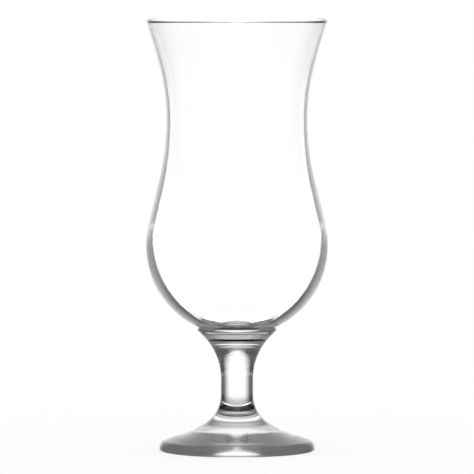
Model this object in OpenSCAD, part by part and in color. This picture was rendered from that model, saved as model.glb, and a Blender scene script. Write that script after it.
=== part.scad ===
// Hurricane glass: a blown bowl on a short solid stem and a pressed foot.
// Millimetres, +Z up. The origin is the centre of the standing ring, on the table,
// and every height is measured up from there.

/* [Overall] */
// Height of the whole glass, from the table to the top of the rim
total_h = 195; // [180:1:215]

/* [Bowl outside] */
// Widest diameter of the rim
rim_d = 81.6; // [72:0.2:92]
// Narrowest diameter of the bowl's waist
waist_d = 63.8; // [54:0.2:70]
// Height of the waist
waist_z = 149; // [135:0.5:160]
// Widest diameter of the belly
belly_d = 82; // [74:0.2:92]
// Height of the belly's widest place
belly_z = 92.4; // [86:0.2:102]
// Share of the rise from waist to rim that is curved, the rest being straight
flare_share = 0.87; // [0.5:0.01:1]
// Size of the hollow curve under the waist, as a share of the largest that fits
waist_share = 0.66; // [0.4:0.01:0.7]
// Size of the round curve over the belly, as a share of the largest that fits
belly_share = 0.28; // [0.1:0.01:0.3]

/* [Bowl inside] */
// Thickness of the round bead that edges the rim
rim_bead_d = 2; // [1.9:0.1:2.6]
// Thickness of the wall just under the bead
rim_wall = 1.4; // [1.2:0.1:1.8]
// Radius of the fine hollow inside, where the bead meets the wall
neck_r = 0.3; // [0.2:0.1:0.6]
// Thickness of the wall at the waist
waist_wall = 1.6; // [1.2:0.1:3]
// Thickness of the wall at the belly
belly_wall = 2.6; // [1.4:0.1:4]
// How much higher the belly's widest place lies inside than outside
belly_rise = 2.6; // [0:0.2:8]
// Size of the hollow curve inside the waist, as a share of the largest that fits
inner_waist_share = 0.78; // [0.5:0.01:0.8]
// Size of the round curve inside the belly, as a share of the largest that fits
inner_belly_share = 0.15; // [0.1:0.01:0.2]
// Thickness of the glass between the bowl's floor and the joint with the stem
floor_t = 2.9; // [2:0.1:8]
// How much higher the dished floor lies at its edge than in its middle
floor_rise = 0.5; // [0.3:0.1:1.5]
// Radius of the curve between the floor and the side
floor_corner_r = 11; // [4:0.5:16]
// Radius of the side's lower curve, as a share of the height from the floor to the belly
side_share = 1.1; // [1.04:0.01:1.2]

/* [Stem] */
// Diameter of the joint between the bowl and the stem
joint_d = 34; // [28:0.2:40]
// Height of the joint between the bowl and the stem
joint_z = 55.6; // [50:0.1:60]
// Rounding of the stem's upper edge, which leaves a fine crease under the bowl
crease_r = 0.85; // [0.3:0.05:1.2]
// Diameter of the stem where it is thinnest
stem_d = 14.6; // [11:0.1:20]
// Height where the flare down to the foot begins
stem_low_z = 25.1; // [22:0.1:30]
// Height where the flare up to the bowl begins
stem_high_z = 32.5; // [28:0.5:40]
// Share of the upper flare that is curved, the rest being straight
upper_flare_share = 0.98; // [0.6:0.01:1]
// Share of the lower flare that is curved, the rest being straight
lower_flare_share = 0.95; // [0.7:0.01:1]

/* [Foot] */
// Diameter of the foot
foot_d = 70.3; // [60:0.1:84]
// Height of the foot's edge, up to its top corner
edge_h = 4.6; // [4:0.1:6]
// Rounding of the edge's top corner
edge_corner_r = 0.6; // [0.3:0.1:1]
// Height of the edge's widest place, and the rounding from there down to the table
edge_low_r = 1.1; // [0.7:0.1:2]
// Radius of the edge's bulge above its widest place, seen from the side
edge_bulge_r = 4.1; // [3.6:0.1:8]
// Diameter of the hub, where the foot is joined to the stem
hub_d = 38.6; // [32:0.2:42]
// Height of the hub
hub_z = 9.8; // [8:0.1:12]
// Width of the flat ring that the glass stands on
ring_w = 9.7; // [4:0.1:12]
// Depth of the hollow inside the ring
hollow_h = 2.8; // [0.8:0.1:3.5]

/* [Hidden] */
$fn = 180;

// Farthest that a drawn curve may stray from the true one
curve_error = 0.01;
// Points closer together than this count as one
same_point = 0.002;
// Clear glass
glass_colour = [0.84, 0.88, 0.9, 0.6];

rim_r = rim_d / 2;
waist_r = waist_d / 2;
belly_r = belly_d / 2;
joint_r = joint_d / 2;
stem_r = stem_d / 2;
hub_r = hub_d / 2;
foot_r = foot_d / 2;

// The bead's centre and radius
lip_r = rim_bead_d / 2;
lip_x = rim_r - lip_r;
lip_z = total_h - lip_r;

// The centre of the hollow under the bead, which it touches
neck_x = rim_r - rim_wall - neck_r;
neck_z = lip_z - sqrt(pow(lip_r + neck_r, 2) - pow(lip_x - neck_x, 2));

// The inside of the bowl
inner_waist_r = waist_r - waist_wall;
inner_belly_r = belly_r - belly_wall;
inner_belly_z = belly_z + belly_rise;
floor_z = joint_z + floor_t;

// An outline is a list of turns, joined by straight runs as a belt joins its pulleys.
// A turn is [distance of its centre from the axis, height of its centre, radius]. A positive
// radius turns left, a negative one turns right, and a radius of 0 is a sharp corner.

// Direction of the straight run from turn a to turn b
function run_angle(a, b) =
    let (out = b[0] - a[0], up = b[1] - a[1])
    let (lean = (b[2] - a[2]) / norm([out, up]))
    atan2(up, out) - asin(max(-1, min(1, lean)));

// The same angle, brought between -180 and 180 degrees
function half_turn(angle) = angle - 360 * round(angle / 360);

// Number of straight steps that keeps a turn within curve_error
function steps(radius, sweep) =
    let (step = 2 * acos(1 - min(1, curve_error / radius)))
    ceil(abs(sweep) / step);

// Points round one turn, from the direction it is entered in to the one it is left in
function turn_points(turn, angle_in, angle_out) =
    let (sweep = half_turn(angle_out - angle_in))
    let (count = steps(abs(turn[2]), sweep))
    [for (i = [0 : count])
        let (angle = angle_in + sweep * i / max(count, 1))
        [turn[0] + turn[2] * sin(angle), turn[1] - turn[2] * cos(angle)]];

// The same points, without those that repeat the one before them
function without_repeats(points) =
    [for (i = [0 : len(points) - 1])
        if (i == 0 || norm(points[i] - points[max(i - 1, 0)]) > same_point) points[i]];

// All the points of an outline, which starts and ends in a corner
function outline(turns) =
    let (last = len(turns) - 1)
    let (runs = [for (i = [0 : last - 1]) run_angle(turns[i], turns[i + 1])])
    without_repeats([for (i = [0 : last])
        each turns[i][2] == 0
            ? [[turns[i][0], turns[i][1]]]
            : turn_points(turns[i], runs[i - 1], runs[i])]);

// Radius of the largest curve that starts upright and, this far out and up, runs into a
// turn of radius end_r, which is negative where it turns the same way as the curve
function largest_curve(out, up, end_r = 0) =
    (out * out + up * up - end_r * end_r) / (2 * (out + end_r));

// Outside of the bowl, from its joint with the stem up to the bead
function bowl_outside() =
    let (low = largest_curve(belly_r - joint_r, belly_z - joint_z))
    let (middle = largest_curve(belly_r - waist_r, waist_z - belly_z))
    let (belly = belly_share * middle, waist = waist_share * middle)
    let (flare = flare_share * largest_curve(lip_x - waist_r, lip_z - waist_z, lip_r))
    [[joint_r, joint_z, 0],
     [belly_r - low, belly_z, low],
     [belly_r - belly, belly_z, belly],
     [waist_r + waist, waist_z, -waist],
     [waist_r + flare, waist_z, -flare]];

// The bead, with a point at its very top
function bead() = [[lip_x, lip_z, lip_r], [lip_x, total_h, 0], [lip_x, lip_z, lip_r]];

// Inside of the bowl, from under the bead down to the middle of the floor
function bowl_inside() =
    let (reach = largest_curve(neck_x - inner_waist_r, neck_z - waist_z, neck_r))
    let (flare = flare_share * reach)
    let (middle = largest_curve(inner_belly_r - inner_waist_r, waist_z - inner_belly_z))
    let (waist = inner_waist_share * middle, belly = inner_belly_share * middle)
    let (side = side_share * (inner_belly_z - floor_z))
    let (side_x = inner_belly_r - side, corner_z = floor_z + floor_rise + floor_corner_r)
    let (apart = side - floor_corner_r, drop = inner_belly_z - corner_z)
    let (corner_x = side_x + sqrt(apart * apart - drop * drop))
    let (dish = floor_corner_r + largest_curve(floor_rise, corner_x))
    [[neck_x, neck_z, -neck_r],
     [inner_waist_r + flare, waist_z, flare],
     [inner_waist_r + waist, waist_z, waist],
     [inner_belly_r - belly, inner_belly_z, -belly],
     [side_x, inner_belly_z, -side],
     [corner_x, corner_z, -floor_corner_r],
     [0, floor_z + dish, -dish],
     [0, floor_z, 0]];

// The stem, from the hub of the foot up to the bowl
function stem_turns() =
    let (low = lower_flare_share * largest_curve(hub_r - stem_r, stem_low_z - hub_z))
    let (edge_z = joint_z - crease_r)
    let (reach = largest_curve(joint_r - stem_r, edge_z - stem_high_z, crease_r))
    let (high = upper_flare_share * reach)
    [[0, hub_z, 0],
     [hub_r, hub_z, 0],
     [stem_r + low, stem_low_z, -low],
     [stem_r + high, stem_high_z, -high],
     [joint_r, edge_z, crease_r],
     [0, joint_z, 0]];

// The foot, from the middle of its hollow round the edge to the middle of the hub
function foot_turns() =
    let (low_x = foot_r - edge_low_r)
    let (ring_r = low_x - ring_w)
    let (hollow = largest_curve(hollow_h, ring_r))
    let (bulge_x = foot_r - edge_bulge_r, corner_z = edge_h - edge_corner_r)
    let (apart = edge_bulge_r - edge_corner_r, rise = corner_z - edge_low_r)
    let (corner_x = bulge_x + sqrt(apart * apart - rise * rise))
    [[0, hollow_h, 0],
     [0, hollow_h - hollow, -hollow],
     [ring_r, 0, 0],
     [low_x, edge_low_r, edge_low_r],
     [bulge_x, edge_low_r, edge_bulge_r],
     [corner_x, corner_z, edge_corner_r],
     [hub_r, hub_z, 0],
     [0, hub_z, 0]];

// A solid of revolution with this outline
module turned(turns) {
    color(glass_colour)
        rotate_extrude()
            polygon(outline(turns));
}

module bowl() {
    turned(concat([[0, joint_z, 0]], bowl_outside(), bead(), bowl_inside()));
}

module stem() {
    turned(stem_turns());
}

module foot() {
    turned(foot_turns());
}

bowl();
stem();
foot();
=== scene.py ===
# The looks of a hurricane glass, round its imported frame.
# Metres, +Z up, the table at height zero. The dictionaries give sizes in millimetres.
import math

import bpy
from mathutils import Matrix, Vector


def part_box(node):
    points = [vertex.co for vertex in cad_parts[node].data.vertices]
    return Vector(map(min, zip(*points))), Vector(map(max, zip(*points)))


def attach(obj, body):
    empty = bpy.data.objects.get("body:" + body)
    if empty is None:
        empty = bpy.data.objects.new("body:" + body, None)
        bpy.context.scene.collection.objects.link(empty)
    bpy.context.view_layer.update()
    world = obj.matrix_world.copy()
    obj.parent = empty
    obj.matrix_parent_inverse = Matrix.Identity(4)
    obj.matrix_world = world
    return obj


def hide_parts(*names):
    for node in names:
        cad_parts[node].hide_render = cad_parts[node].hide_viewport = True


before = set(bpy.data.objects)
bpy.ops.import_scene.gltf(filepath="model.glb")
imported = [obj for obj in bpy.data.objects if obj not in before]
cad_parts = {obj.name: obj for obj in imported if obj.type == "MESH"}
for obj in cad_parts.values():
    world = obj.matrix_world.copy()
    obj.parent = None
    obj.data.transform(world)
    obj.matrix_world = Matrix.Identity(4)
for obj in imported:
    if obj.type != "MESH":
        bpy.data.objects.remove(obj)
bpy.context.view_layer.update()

millimetre = 0.001
white = (1.0, 1.0, 1.0, 1.0)

# How finely the pieces are turned
turning = {
    "stepsRound": 256,         # straight steps in one full turn round the axis
    "curveError": 0.002,       # farthest that a drawn curve strays from the true one
    "largestStep": 6.0,        # degrees that one step of a curve turns at most
    "samePoint": 0.001,        # points closer together than this are one
    "mergeShare": 1.5,         # and this many times that, once the outline is spun
    "smoothAngle": 20.0,       # degrees, edges sharper than this stay sharp
}


# An outline is a list of turns, joined by straight runs as a belt joins its pulleys.
# A turn is (distance from the axis, height, radius). A radius above zero turns left,
# one below zero turns right, and a radius of zero is a sharp corner.

# Direction of the straight run between two turns
def runAngle(first, second):
    out = second[0] - first[0]
    up = second[1] - first[1]
    lean = (second[2] - first[2]) / math.hypot(out, up)
    return math.atan2(up, out) - math.asin(max(-1.0, min(1.0, lean)))


# Points round one turn, from the direction it is entered in to the one it is left in
def turnPoints(turn, angleIn, angleOut):
    sweep = math.remainder(angleOut - angleIn, 2 * math.pi)
    radius = abs(turn[2])
    fineStep = 2 * math.acos(1 - min(1.0, turning["curveError"] / radius))
    step = min(fineStep, math.radians(turning["largestStep"]))
    count = max(1, math.ceil(abs(sweep) / step))
    points = []
    for i in range(count + 1):
        angle = angleIn + sweep * i / count
        points.append((turn[0] + turn[2] * math.sin(angle), turn[1] - turn[2] * math.cos(angle)))
    return points


def outlinePoints(turns):
    runs = [runAngle(a, b) for a, b in zip(turns, turns[1:])]
    drawn = []
    for i, turn in enumerate(turns):
        corner = turn[2] == 0
        drawn += [turn[:2]] if corner else turnPoints(turn, runs[i - 1], runs[i])
    kept = drawn[:1]
    for point in drawn[1:]:
        if math.dist(point, kept[-1]) > turning["samePoint"]:
            kept.append(point)
    return kept


# Radius of the largest curve that starts upright and, this far out and up, runs into a turn
def largestCurve(out, up, endRadius=0.0):
    return (out * out + up * up - endRadius * endRadius) / (2 * (out + endRadius))


# One vertex is drawn along the outline, and the line that it leaves is spun round the axis
def turnOnAxis(name, turns):
    points = [Vector((x, 0, z)) * millimetre for x, z in outlinePoints(turns)]
    bpy.ops.object.select_all(action="DESELECT")
    bpy.ops.mesh.primitive_plane_add(size=millimetre)
    piece = bpy.context.object
    piece.name = name
    piece.data.name = name
    bpy.ops.object.mode_set(mode="EDIT")
    bpy.ops.mesh.select_all(action="SELECT")
    bpy.ops.mesh.merge(type="CENTER")
    bpy.ops.transform.translate(value=points[0])
    for start, end in zip(points, points[1:]):
        bpy.ops.mesh.extrude_region_move(TRANSFORM_OT_translate={"value": end - start})
    bpy.ops.mesh.select_all(action="SELECT")
    bpy.ops.mesh.spin(
        steps=turning["stepsRound"], angle=2 * math.pi, center=(0, 0, 0), axis=(0, 0, 1)
    )
    bpy.ops.mesh.select_all(action="SELECT")
    bpy.ops.mesh.remove_doubles(threshold=turning["samePoint"] * millimetre * turning["mergeShare"])
    bpy.ops.mesh.normals_make_consistent(inside=False)
    bpy.ops.object.mode_set(mode="OBJECT")
    bpy.ops.object.shade_smooth_by_angle(angle=math.radians(turning["smoothAngle"]))
    print(name, "turned:", len(piece.data.vertices), "vertices,", len(piece.data.polygons), "faces")
    return piece


# Heights and radii that the frame gives, to a thousandth of a millimetre
decimals = 3
bowlBox = [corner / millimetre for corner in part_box("bowl")]
stemBox = [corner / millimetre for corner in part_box("stem")]
footBox = [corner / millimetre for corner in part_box("foot")]
glassHeight = round(bowlBox[1].z, decimals)
jointHeight = round(bowlBox[0].z, decimals)
hubHeight = round(stemBox[0].z, decimals)
hubRadius = round(stemBox[1].x, decimals)
footRadius = round(footBox[1].x, decimals)

# The belly stays inside the solid's smaller reach, rounded down
bellyReach = math.floor(min(bowlBox[1].x, bowlBox[1].y) * 10 ** decimals) / 10 ** decimals

bowl = {
    "rimRadius": 40.8,
    "waistRadius": 31.9,
    "waistHeight": 149.0,
    "bellyRadius": bellyReach,
    "bellyHeight": 92.4,
    "flareShare": 0.87,        # share of the rise from waist to rim that is curved
    "waistShare": 0.66,        # size of the hollow curve under the waist
    "bellyShare": 0.28,        # size of the round curve over the belly
    "beadRadius": 1.0,         # the round bead that edges the rim
    "rimWall": 1.4,            # the wall just under the bead
    "neckRadius": 0.3,         # the fine hollow inside, where the bead meets the wall
    "waistWall": 1.6,
    "bellyWall": 2.6,
    "bellyRise": 2.6,          # how much higher the belly is widest inside than outside
    "innerWaistShare": 0.78,
    "innerBellyShare": 0.15,
    "floorThickness": 2.9,
    "floorRise": 0.5,          # how much higher the floor lies at its edge than in its middle
    "floorCorner": 11.0,       # the curve between the floor and the side
    "sideShare": 1.1,          # size of the lower side's curve inside
    "jointRadius": 17.0,
}


def bowlTurns(b):
    bead = b["beadRadius"]
    beadX = b["rimRadius"] - bead
    beadZ = glassHeight - bead
    waistX, waistZ = b["waistRadius"], b["waistHeight"]
    bellyX, bellyZ = b["bellyRadius"], b["bellyHeight"]
    low = largestCurve(bellyX - b["jointRadius"], bellyZ - jointHeight)
    middle = largestCurve(bellyX - waistX, waistZ - bellyZ)
    belly, waist = b["bellyShare"] * middle, b["waistShare"] * middle
    flare = b["flareShare"] * largestCurve(beadX - waistX, beadZ - waistZ, bead)
    outside = [
        (0, jointHeight, 0),
        (b["jointRadius"], jointHeight, 0),
        (bellyX - low, bellyZ, low),
        (bellyX - belly, bellyZ, belly),
        (waistX + waist, waistZ, -waist),
        (waistX + flare, waistZ, -flare),
    ]
    rim = [(beadX, beadZ, bead), (beadX, glassHeight, 0), (beadX, beadZ, bead)]
    neck = b["neckRadius"]
    neckX = b["rimRadius"] - b["rimWall"] - neck
    neckZ = beadZ - math.sqrt((bead + neck) ** 2 - (beadX - neckX) ** 2)
    waistX -= b["waistWall"]
    bellyX -= b["bellyWall"]
    bellyZ += b["bellyRise"]
    floorZ = jointHeight + b["floorThickness"]
    middle = largestCurve(bellyX - waistX, waistZ - bellyZ)
    belly, waist = b["innerBellyShare"] * middle, b["innerWaistShare"] * middle
    flare = b["flareShare"] * largestCurve(neckX - waistX, neckZ - waistZ, neck)
    side = b["sideShare"] * (bellyZ - floorZ)
    corner, rise = b["floorCorner"], b["floorRise"]
    cornerZ = floorZ + rise + corner
    cornerX = bellyX - side + math.sqrt((side - corner) ** 2 - (bellyZ - cornerZ) ** 2)
    dish = corner + largestCurve(rise, cornerX)
    inside = [
        (neckX, neckZ, -neck),
        (waistX + flare, waistZ, flare),
        (waistX + waist, waistZ, waist),
        (bellyX - belly, bellyZ, -belly),
        (bellyX - side, bellyZ, -side),
        (cornerX, cornerZ, -corner),
        (0, floorZ + dish, -dish),
        (0, floorZ, 0),
    ]
    return outside + rim + inside


stem = {
    "radius": 7.3,             # where it is thinnest
    "lowHeight": 25.1,         # the flare down to the foot begins here
    "highHeight": 32.5,        # and the flare up to the bowl here
    "lowerFlareShare": 0.95,   # shares of the flares that are curved
    "upperFlareShare": 0.98,
    "creaseRadius": 0.85,      # rounding of the upper edge
    "jointRadius": 17.0,
}


def stemTurns(s):
    edgeHeight = jointHeight - s["creaseRadius"]
    low = s["lowerFlareShare"] * largestCurve(hubRadius - s["radius"], s["lowHeight"] - hubHeight)
    high = s["upperFlareShare"] * largestCurve(
        s["jointRadius"] - s["radius"], edgeHeight - s["highHeight"], s["creaseRadius"]
    )
    return [
        (0, hubHeight, 0),
        (hubRadius, hubHeight, 0),
        (s["radius"] + low, s["lowHeight"], -low),
        (s["radius"] + high, s["highHeight"], -high),
        (s["jointRadius"], edgeHeight, s["creaseRadius"]),
        (0, jointHeight, 0),
    ]


foot = {
    "edgeHeight": 4.6,         # up to the top corner
    "edgeCorner": 0.6,         # rounding of that corner
    "edgeLow": 1.1,            # rounding from the widest place down to the table
    "edgeBulge": 4.1,          # curve from the widest place up to the corner
    "ringWidth": 9.7,          # the flat ring that the glass stands on
    "hollowHeight": 2.8,       # depth of the hollow inside that ring
}


def footTurns(f):
    lowX = footRadius - f["edgeLow"]
    ringRadius = lowX - f["ringWidth"]
    hollow = largestCurve(f["hollowHeight"], ringRadius)
    bulgeX = footRadius - f["edgeBulge"]
    cornerHeight = f["edgeHeight"] - f["edgeCorner"]
    cornerReach = math.sqrt(
        (f["edgeBulge"] - f["edgeCorner"]) ** 2 - (cornerHeight - f["edgeLow"]) ** 2
    )
    return [
        (0, f["hollowHeight"], 0),
        (0, f["hollowHeight"] - hollow, -hollow),
        (ringRadius, 0, 0),
        (lowX, f["edgeLow"], f["edgeLow"]),
        (bulgeX, f["edgeLow"], f["edgeBulge"]),
        (bulgeX + cornerReach, cornerHeight, f["edgeCorner"]),
        (hubRadius, hubHeight, 0),
        (0, hubHeight, 0),
    ]


# The surface is flame polished, and very slightly uneven as blown and pressed glass is
glass = {
    "ior": 1.52,
    "roughness": 0.0,
    "waveSize": 14.0,          # from one shallow wave of the surface to the next
    "waveDetail": 1.0,
    "waveHeight": 0.006,
    "clear": white,
    "faintTint": (0.984, 0.985, 0.985, 1.0),
    "tintSize": 40.0,          # from one faintly tinted place to the next
    "tintDetail": 2.0,
}

# The mould leaves the foot's underside a little less smooth than the polished faces
underside = {
    "roughness": 0.15,
    "facingDown": 0.9,         # a face belongs to it where it points down by more than this
}

# Where the pieces are fused there is no surface for light to meet
fused = {
    "tolerance": 0.02,         # farthest that a fused face lies from its joint's height
    "level": 0.999,            # and it points up or down by more than this
}


def clearGlass(name, g, roughness):
    material = bpy.data.materials.new(name)
    material.use_nodes = True
    nodes, links = material.node_tree.nodes, material.node_tree.links
    shader = nodes["Principled BSDF"]
    shader.inputs["Roughness"].default_value = roughness
    shader.inputs["IOR"].default_value = g["ior"]
    shader.inputs["Transmission Weight"].default_value = 1.0
    place = nodes.new("ShaderNodeTexCoord").outputs["Object"]
    waves = nodes.new("ShaderNodeTexNoise")
    waves.inputs["Scale"].default_value = 1 / (g["waveSize"] * millimetre)
    waves.inputs["Detail"].default_value = g["waveDetail"]
    links.new(place, waves.inputs["Vector"])
    bump = nodes.new("ShaderNodeBump")
    bump.inputs["Strength"].default_value = 1.0
    bump.inputs["Distance"].default_value = g["waveHeight"] * millimetre
    links.new(waves.outputs["Fac"], bump.inputs["Height"])
    links.new(bump.outputs["Normal"], shader.inputs["Normal"])
    clouds = nodes.new("ShaderNodeTexNoise")
    clouds.inputs["Scale"].default_value = 1 / (g["tintSize"] * millimetre)
    clouds.inputs["Detail"].default_value = g["tintDetail"]
    links.new(place, clouds.inputs["Vector"])
    tint = nodes.new("ShaderNodeMix")
    tint.data_type = "RGBA"
    colourA, colourB, colourOut = tint.inputs[6], tint.inputs[7], tint.outputs[2]
    links.new(clouds.outputs["Fac"], tint.inputs["Factor"])
    colourA.default_value = g["clear"]
    colourB.default_value = g["faintTint"]
    links.new(colourOut, shader.inputs["Base Color"])
    print(name + ": index of refraction", g["ior"], "and roughness", roughness)
    return material


def fusedJoint():
    material = bpy.data.materials.new("fusedJoint")
    material.use_nodes = True
    nodes, links = material.node_tree.nodes, material.node_tree.links
    nodes.remove(nodes["Principled BSDF"])
    through = nodes.new("ShaderNodeBsdfTransparent")
    links.new(through.outputs[0], nodes["Material Output"].inputs["Surface"])
    return material


polished = clearGlass("clearGlass", glass, glass["roughness"])
joint = fusedJoint()
pressed = clearGlass("pressedGlass", glass, underside["roughness"])


def finishPiece(piece, node, fusedHeights, materials):
    for material in materials:
        piece.data.materials.append(material)
    for face in piece.data.polygons:
        height = face.center.z / millimetre
        level = abs(face.normal.z) > fused["level"]
        if level and any(abs(height - h) < fused["tolerance"] for h in fusedHeights):
            face.material_index = materials.index(joint)
        elif pressed in materials and face.normal.z < -underside["facingDown"]:
            face.material_index = materials.index(pressed)
    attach(piece, "root")
    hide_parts(node)


bowlPiece = turnOnAxis("glassBowl", bowlTurns(bowl))
finishPiece(bowlPiece, "bowl", [jointHeight], [polished, joint])
stemPiece = turnOnAxis("glassStem", stemTurns(stem))
finishPiece(stemPiece, "stem", [jointHeight, hubHeight], [polished, joint])
footPiece = turnOnAxis("glassFoot", footTurns(foot))
finishPiece(footPiece, "foot", [hubHeight], [polished, joint, pressed])

# The photograph's camera stands level with the rim and looks down at the glass
camera = {
    "distance": 2070.0,
    "height": 195.0,
    "rimRow": 18.0,            # pixel rows of the rim's top and of the foot's underside
    "baseRow": 450.3,
    "imageSide": 474.0,
    "sensorWidth": 36.0,
    "rounds": 20,              # steps in which the pitch settles
    "step": 0.5,               # share of the error that each of them takes away
}


def placeCamera(c):
    slope = math.atan2(c["height"], c["distance"])
    above = c["imageSide"] / 2 - c["rimRow"]
    below = c["baseRow"] - c["imageSide"] / 2
    pitch = slope * above / (above + below)
    for _ in range(c["rounds"]):
        focal = above / math.tan(pitch)
        error = focal * math.tan(slope - pitch) - below
        pitch += c["step"] * error / focal
    lens = bpy.data.cameras.new("photoCamera")
    lens.sensor_width = c["sensorWidth"]
    lens.lens = focal * c["sensorWidth"] / c["imageSide"]
    seat = bpy.data.objects.new("photoCamera", lens)
    bpy.context.scene.collection.objects.link(seat)
    seat.location = Vector((0, -c["distance"], c["height"])) * millimetre
    seat.rotation_euler = (math.pi / 2 - pitch, 0, 0)
    bpy.context.scene.camera = seat
    print("camera: lens", round(lens.lens, 1), "mm, pitch", round(math.degrees(pitch), 3))
    return seat


cameraSeat = placeCamera(camera)

# The light tent hangs round the glass and turns with the camera, as if the glass were turned
# on a turntable. It is white behind the glass and dark at the sides, which draws the dark edges
# of clear glass, and each kind of light sees its cloth in a brightness of its own.
# Places on the cloth are shares of the tent's radius, to the side, up, or towards the camera.
tent = {
    "radius": 3000.0,
    "segments": 64,
    "rings": 32,
    "seam": 0.12,              # how far before and behind the glass the two halves blend
    "wallFaces": 4,            # faces of glass that light passes on its way through both walls
    "onTable": 0.97,           # brightness for light that passes through the glass to the table
}

# Light that goes straight through the stem and the foot, or is thrown back by their outside
straightLight = {
    "white": 1.13,             # brightness behind the glass
    "front": 1.2,              # on the camera's side
    "dark": 0.07,              # and at the sides
    "whiteTo": 0.26,           # how far the white reaches to each side
    "darkFrom": 0.73,          # where the dark sides begin
    "tall": 0.7,               # how much the upper cloth counts as being at the side
    "low": 0.5,                # share of the brightness that is left far below the glass
    "lowFrom": -0.35,
    "lowTo": 0.0,
}

# Light that was thrown back once inside the glass
turnedLight = {
    "white": 0.55,
    "front": 1.18,
    "dark": 0.05,
    "whiteTo": 0.5,
    "darkFrom": 0.68,
    "tall": 0.63,
    "low": 0.05,
    "lowFrom": -0.58,
    "lowTo": 0.04,
    "high": 2.0,               # how many times brighter it is above the glass
    "highFrom": 0.08,
    "highTo": 0.2,
}

# Light that was thrown back several times inside the glass
guidedLight = {
    "white": 0.6,
    "front": 0.25,
    "dark": 0.15,
    "whiteTo": 0.14,
    "darkFrom": 0.46,
    "tall": 0.0,
    "low": 1.0,
    "lowFrom": -0.78,
    "lowTo": -0.25,
}

# Light that crossed both walls of the bowl
crossedLight = {
    "white": 1.19,
    "growth": 10.2,            # how fast it grows to the sides, where the walls lose more
    "most": 3.0,
    "under": 1.6,              # how many times brighter it is under the bowl's floor
    "underFrom": -0.5,
    "underTo": -0.25,
    "deep": 0.5,               # brightness deep below the glass
    "deepFrom": -0.85,
    "deepTo": -0.78,
}


# One step of arithmetic, on numbers or on the outputs of other nodes
def mathNode(nodes, links, operation, first, second=None):
    node = nodes.new("ShaderNodeMath")
    node.operation = operation
    for socket, value in zip(node.inputs, (first, second)):
        if hasattr(value, "links"):
            links.new(value, socket)
        elif value is not None:
            socket.default_value = value
    return node.outputs[0]


# A smooth passage from one brightness to another, over a range of the given value
def smoothRange(nodes, links, value, fromLow, fromHigh, toLow, toHigh):
    node = nodes.new("ShaderNodeMapRange")
    node.interpolation_type = "SMOOTHSTEP"
    links.new(value, node.inputs["Value"])
    limits = {"From Min": fromLow, "From Max": fromHigh, "To Min": toLow, "To Max": toHigh}
    for name, limit in limits.items():
        if hasattr(limit, "links"):
            links.new(limit, node.inputs[name])
        else:
            node.inputs[name].default_value = limit
    return node.outputs["Result"]


def clothLight(nodes, links, axes, seam, d):
    side, up, near = axes.outputs
    above = mathNode(nodes, links, "MAXIMUM", up, 0.0)
    above = mathNode(nodes, links, "MULTIPLY", above, d["tall"])
    sideSquare = mathNode(nodes, links, "MULTIPLY", side, side)
    aboveSquare = mathNode(nodes, links, "MULTIPLY", above, above)
    aside = mathNode(nodes, links, "ADD", sideSquare, aboveSquare)
    aside = mathNode(nodes, links, "SQRT", aside)
    back = smoothRange(nodes, links, aside, d["whiteTo"], d["darkFrom"], d["white"], d["dark"])
    front = smoothRange(nodes, links, aside, d["whiteTo"], d["darkFrom"], d["front"], d["dark"])
    light = smoothRange(nodes, links, near, -seam, seam, back, front)
    share = smoothRange(nodes, links, up, d["lowFrom"], d["lowTo"], d["low"], 1.0)
    return mathNode(nodes, links, "MULTIPLY", light, share)


def raisedLight(nodes, links, axes, light, d):
    up = axes.outputs["Y"]
    raised = smoothRange(nodes, links, up, d["highFrom"], d["highTo"], 1.0, d["high"])
    return mathNode(nodes, links, "MULTIPLY", light, raised)


def crossingLight(nodes, links, axes, d):
    side, up = axes.outputs["X"], axes.outputs["Y"]
    growth = mathNode(nodes, links, "MULTIPLY", side, side)
    growth = mathNode(nodes, links, "MULTIPLY", growth, d["growth"])
    growth = mathNode(nodes, links, "EXPONENT", growth)
    light = mathNode(nodes, links, "MULTIPLY", growth, d["white"])
    light = mathNode(nodes, links, "MINIMUM", light, d["most"])
    under = smoothRange(nodes, links, up, d["underFrom"], d["underTo"], d["under"], 1.0)
    light = mathNode(nodes, links, "MULTIPLY", light, under)
    return smoothRange(nodes, links, up, d["deepFrom"], d["deepTo"], d["deep"], light)


# One of two brightnesses, by whether a count of Light Path has come to this many
def choose(nodes, links, count, least, before, reached):
    chosen = mathNode(nodes, links, "GREATER_THAN", count, least - 1)
    return smoothRange(nodes, links, chosen, 0, 1, before, reached)


def tentCloth(t):
    material = bpy.data.materials.new("tentCloth")
    material.use_nodes = True
    material.cycles.emission_sampling = "NONE"
    nodes, links = material.node_tree.nodes, material.node_tree.links
    nodes.remove(nodes["Principled BSDF"])
    place = nodes.new("ShaderNodeTexCoord").outputs["Object"]
    shares = nodes.new("ShaderNodeVectorMath")
    shares.operation = "SCALE"
    shares.inputs["Scale"].default_value = 1 / (t["radius"] * millimetre)
    links.new(place, shares.inputs[0])
    axes = nodes.new("ShaderNodeSeparateXYZ")
    links.new(shares.outputs[0], axes.inputs[0])
    straight = clothLight(nodes, links, axes, t["seam"], straightLight)
    turned = clothLight(nodes, links, axes, t["seam"], turnedLight)
    turned = raisedLight(nodes, links, axes, turned, turnedLight)
    guided = clothLight(nodes, links, axes, t["seam"], guidedLight)
    crossed = crossingLight(nodes, links, axes, crossedLight)
    path = nodes.new("ShaderNodeLightPath").outputs
    passed, thrownBack = path["Transmission Depth"], path["Glossy Depth"]
    unturned = choose(nodes, links, passed, t["wallFaces"], straight, crossed)
    inside = choose(nodes, links, thrownBack, 2, turned, guided)
    mirrored = choose(nodes, links, passed, 1, straight, inside)
    light = choose(nodes, links, thrownBack, 1, unturned, mirrored)
    light = choose(nodes, links, path["Diffuse Depth"], 1, light, t["onTable"])
    glow = nodes.new("ShaderNodeEmission")
    links.new(light, glow.inputs["Strength"])
    links.new(glow.outputs[0], nodes["Material Output"].inputs["Surface"])
    return material


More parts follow.
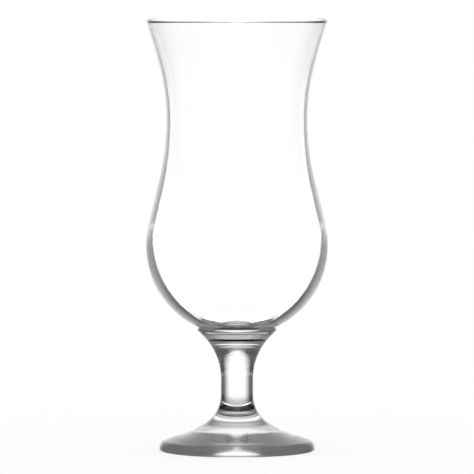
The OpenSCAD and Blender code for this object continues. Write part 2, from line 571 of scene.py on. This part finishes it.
def hangTent(t):
    bpy.ops.object.select_all(action="DESELECT")
    bpy.ops.mesh.primitive_uv_sphere_add(
        segments=t["segments"], ring_count=t["rings"], radius=t["radius"] * millimetre
    )
    cloth = bpy.context.object
    cloth.name = "lightTent"
    cloth.data.materials.append(tentCloth(t))
    cloth.parent = cameraSeat
    cloth.location = (0, 0, -camera["distance"] * millimetre)
    cloth.visible_camera = False
    cloth.visible_diffuse = False
    cloth.visible_shadow = False
    print("light tent: radius", t["radius"], "mm")


hangTent(tent)

table = {
    "size": 6000.0,
    "colour": white,
    "roughness": 1.0,
    "glow": 0.65,              # share of plain white that the camera sees, which thins the shadow
}


def layTable(t):
    bpy.ops.object.select_all(action="DESELECT")
    bpy.ops.mesh.primitive_plane_add(size=t["size"] * millimetre)
    top = bpy.context.object
    top.name = "table"
    material = bpy.data.materials.new("tableTop")
    material.use_nodes = True
    nodes, links = material.node_tree.nodes, material.node_tree.links
    shader = nodes["Principled BSDF"]
    shader.inputs["Base Color"].default_value = t["colour"]
    shader.inputs["Roughness"].default_value = t["roughness"]
    shader.inputs["Specular IOR Level"].default_value = 0.0
    glow = nodes.new("ShaderNodeEmission")
    cameraRay = nodes.new("ShaderNodeLightPath").outputs["Is Camera Ray"]
    seen = mathNode(nodes, links, "MULTIPLY", cameraRay, t["glow"])
    mixed = nodes.new("ShaderNodeMixShader")
    links.new(seen, mixed.inputs[0])
    links.new(shader.outputs[0], mixed.inputs[1])
    links.new(glow.outputs[0], mixed.inputs[2])
    links.new(mixed.outputs[0], nodes["Material Output"].inputs["Surface"])
    top.data.materials.append(material)
    top.visible_transmission = False
    top.visible_glossy = False
    print("table:", t["size"], "mm wide")


layTable(table)

world = bpy.data.worlds.new("studio")
world.use_nodes = True
world.node_tree.nodes["Background"].inputs["Color"].default_value = white
bpy.context.scene.world = world
bpy.context.scene.view_settings.view_transform = "Standard"

# Light that is led along inside the wall is thrown back many times before it comes out
bounces = 32
cycles = bpy.context.scene.cycles
cycles.max_bounces = bounces
cycles.glossy_bounces = bounces
cycles.transmission_bounces = bounces
cycles.transparent_max_bounces = bounces
print("light: up to", bounces, "bounces")
